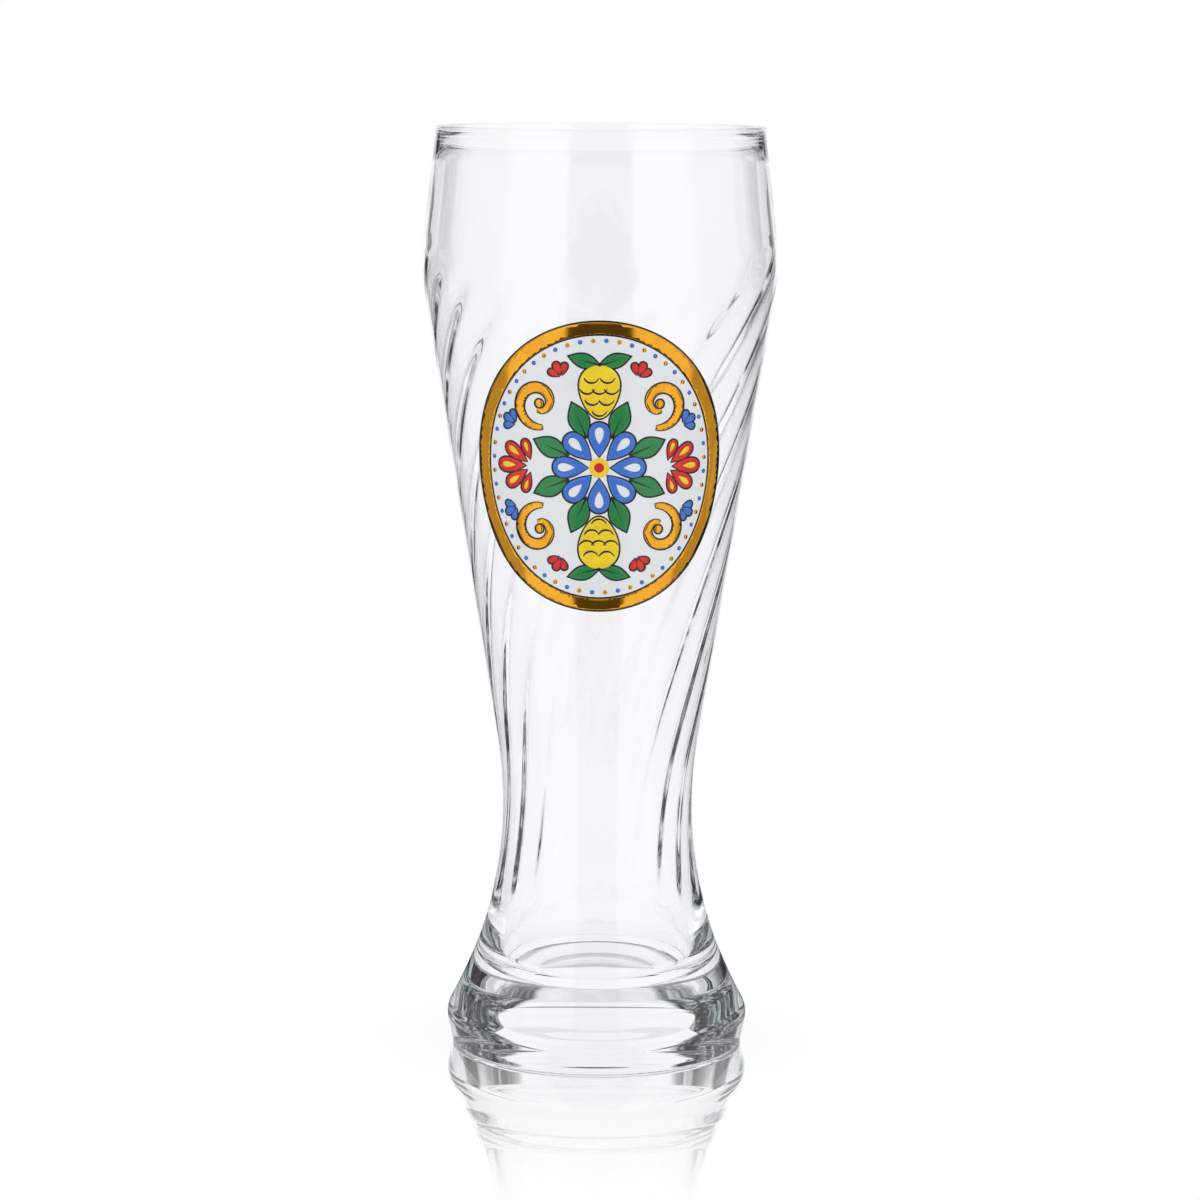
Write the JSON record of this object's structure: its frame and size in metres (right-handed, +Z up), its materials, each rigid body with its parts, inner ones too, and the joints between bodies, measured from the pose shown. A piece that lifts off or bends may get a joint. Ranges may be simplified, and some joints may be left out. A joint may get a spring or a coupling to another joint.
{
  "type": "beer glass",
  "caption": "Tall clear beer glass with a heavy foot, waisted body and swirled flutes inside, and an oval floral picture with a gold border fired on its front.",
  "frame": {"origin": "centre of the foot's underside, on the table", "axes": "+Z up along the glass's axis, -Y towards the viewer, the way the picture faces"},
  "size_m": [0.0877, 0.0876, 0.23],
  "materials": {
    "clear_glass": "clear, fire-polished",
    "white_enamel": "glossy",
    "gold_lustre": "polished gold lustre",
    "black_enamel": "glossy",
    "blue_enamel": "glossy",
    "green_enamel": "glossy",
    "yellow_enamel": "glossy",
    "red_enamel": "glossy"
  },
  "bodies": {
    "root": {"glass": "clear_glass", "white_ground": "white_enamel", "gold_border": "gold_lustre", "black_lines": "black_enamel", "gold_scrolls": "gold_lustre", "blue_petals": "blue_enamel", "green_leaves": "green_enamel", "yellow_cones": "yellow_enamel", "red_blossoms": "red_enamel"}
  },
  "joints": []
}
